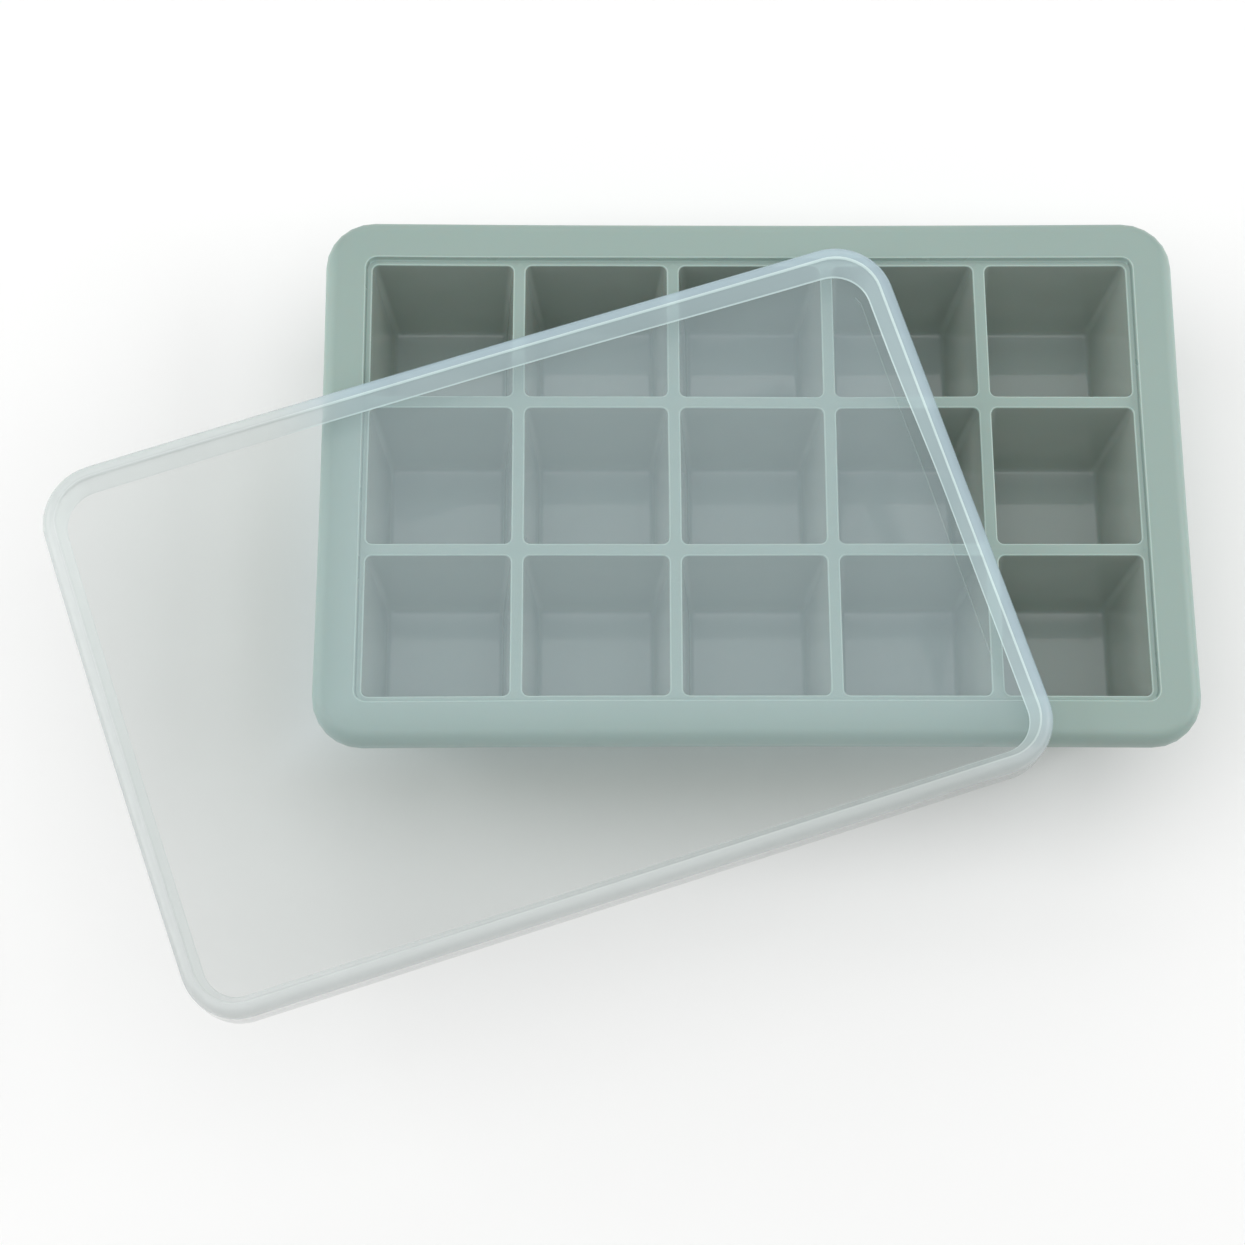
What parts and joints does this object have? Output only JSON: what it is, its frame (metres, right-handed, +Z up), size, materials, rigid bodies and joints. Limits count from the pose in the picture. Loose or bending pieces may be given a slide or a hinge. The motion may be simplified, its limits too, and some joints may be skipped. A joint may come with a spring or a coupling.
{
  "type": "baby food freezer tray",
  "caption": "Soft silicone freezer tray with a grid of deep square cells and a loose translucent press-on lid that lies turned across it and lifts off.",
  "frame": {"origin": "middle of the base that the tray stands on, under the centre of its grid of cells", "axes": "+X along the tray's long side, +Y towards its back, +Z up, out of the cells' mouths"},
  "size_m": [0.2455, 0.1794, 0.0441],
  "materials": {
    "tray_silicone": "satin sage green silicone, glossier inside the cells",
    "lid_plastic": "thin translucent frosted plastic, pale and slightly cool"
  },
  "bodies": {
    "tray": {"tray_rim": "tray_silicone", "cup_row1_col1": "tray_silicone", "cup_row1_col2": "tray_silicone", "cup_row1_col3": "tray_silicone", "cup_row1_col4": "tray_silicone", "cup_row1_col5": "tray_silicone", "cup_row2_col1": "tray_silicone", "cup_row2_col2": "tray_silicone", "cup_row2_col3": "tray_silicone", "cup_row2_col4": "tray_silicone", "cup_row2_col5": "tray_silicone", "cup_row3_col1": "tray_silicone", "cup_row3_col2": "tray_silicone", "cup_row3_col3": "tray_silicone", "cup_row3_col4": "tray_silicone", "cup_row3_col5": "tray_silicone"},
    "lid": {"lid": "lid_plastic"}
  },
  "joints": [
    {"name": "lid_lift", "type": "slide", "parent": "tray", "child": "lid", "axis": [0, 0, 1], "range_m": [0, 0.08]}
  ]
}
